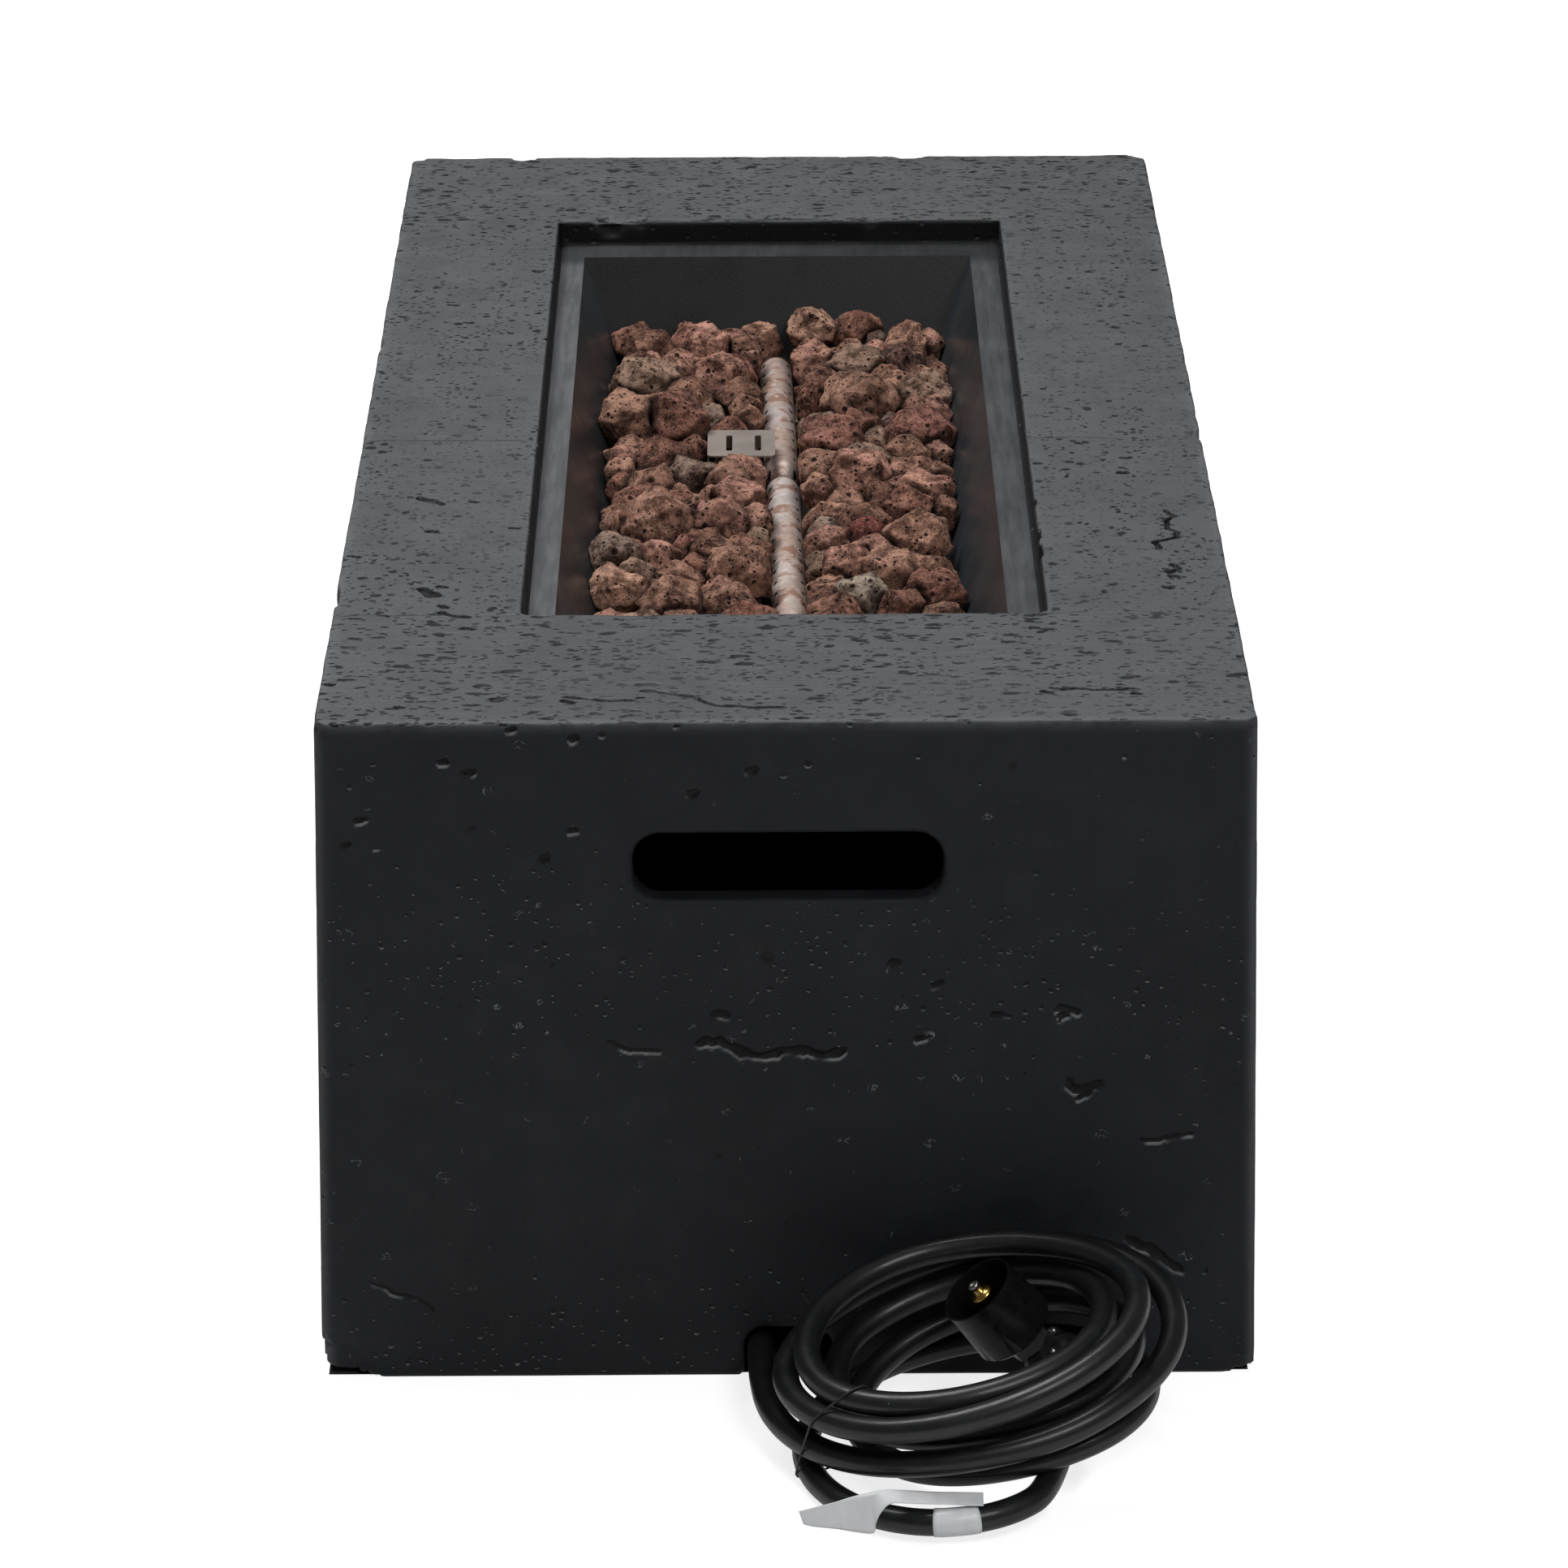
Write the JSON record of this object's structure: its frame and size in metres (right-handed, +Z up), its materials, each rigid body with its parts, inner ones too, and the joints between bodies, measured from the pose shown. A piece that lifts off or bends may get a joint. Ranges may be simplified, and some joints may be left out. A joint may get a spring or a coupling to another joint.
{
  "type": "fire pit table",
  "caption": "Low rectangular cast fire table with a burner pan of lava rock, hand slots, recessed gas controls and a coiled gas hose with regulator and tank coupling.",
  "frame": {"origin": "on the floor under the middle of the cast body", "axes": "+Z up, +Y along the length, away from the end with the hose notch; +X to the right of a person who faces that end"},
  "size_m": [0.533, 1.2654, 0.4],
  "materials": {
    "cast_concrete": "weathered charcoal fibre-cement, sealed",
    "black_enamel": "semi-gloss heat-proof black",
    "heat_tinted_steel": "stainless, heat tinted",
    "plated_steel": "zinc plated",
    "lava_rock": "rough porous lava",
    "hose_rubber": "smooth black rubber",
    "seal_rubber": "moulded seal",
    "tie_string": "thin tie",
    "tag_paper": "coated white paper, blank",
    "black_plastic": "moulded glass-filled plastic",
    "panel_plastic": "moulded satin",
    "brass": "machined",
    "cast_zinc": "grey powder coat",
    "ceramic": "white glazed insulator",
    "copper_lead": "copper tube",
    "lead_rubber": "silicone covered wire"
  },
  "bodies": {
    "table": {"body_shell": "cast_concrete", "burner_pan": "black_enamel", "burner_tube": "heat_tinted_steel", "burner_end_caps": "heat_tinted_steel", "burner_supports": "heat_tinted_steel", "pilot_guard": "heat_tinted_steel", "guard_screws": "plated_steel", "pilot_bracket": "heat_tinted_steel", "electrode_insulator": "ceramic", "electrode_tip": "heat_tinted_steel", "thermocouple": "copper_lead", "thermocouple_lead": "copper_lead", "igniter_lead": "lead_rubber", "burner_inlet": "heat_tinted_steel", "inlet_locknut": "plated_steel", "air_mixer": "brass", "gas_orifice": "brass", "orifice_elbow": "brass", "gas_feed_tube": "plated_steel", "control_surround": "black_enamel", "control_panel": "panel_plastic", "panel_screws": "plated_steel", "valve_body": "cast_zinc", "panel_nut": "plated_steel", "igniter_body": "black_plastic", "igniter_nut": "black_plastic", "lava_rocks_left": "lava_rock", "lava_rocks_right": "lava_rock", "hose_lead": "hose_rubber", "hose_coil": "hose_rubber", "hose_tie": "tie_string", "hose_tag": "tag_paper", "regulator_body": "cast_zinc", "regulator_bonnet": "cast_zinc", "regulator_screws": "plated_steel", "regulator_vent": "black_plastic", "regulator_outlet": "brass", "hose_ferrule_regulator": "plated_steel", "hose_ferrule_valve": "plated_steel", "valve_inlet_fitting": "brass", "inlet_nipple": "brass", "nipple_seal": "seal_rubber"},
    "spindle": {"valve_spindle": "brass"},
    "knob": {"control_knob": "black_plastic", "valve_stem": "brass"},
    "button": {"igniter_button": "black_plastic"},
    "coupling": {"coupling_nut": "black_plastic"}
  },
  "joints": [
    {"name": "knob_push", "type": "slide", "parent": "table", "child": "spindle", "axis": [1, 0, 0], "range_m": [0, 0.004], "stiffness_N_per_m": 900, "springref_m": -0.003},
    {"name": "knob_turn", "type": "hinge", "parent": "spindle", "child": "knob", "pos_m": [-0.24, -0.032, 0.21], "axis": [-1, 0, 0], "range_deg": [0, 180]},
    {"name": "button_push", "type": "slide", "parent": "table", "child": "button", "axis": [1, 0, 0], "range_m": [0, 0.006], "stiffness_N_per_m": 700, "springref_m": -0.003},
    {"name": "coupling_spin", "type": "hinge", "parent": "table", "child": "coupling", "pos_m": [0.12776, -0.59581, 0.0604], "axis": [-0.6122, -0.1365, 0.7788], "continuous": true}
  ]
}
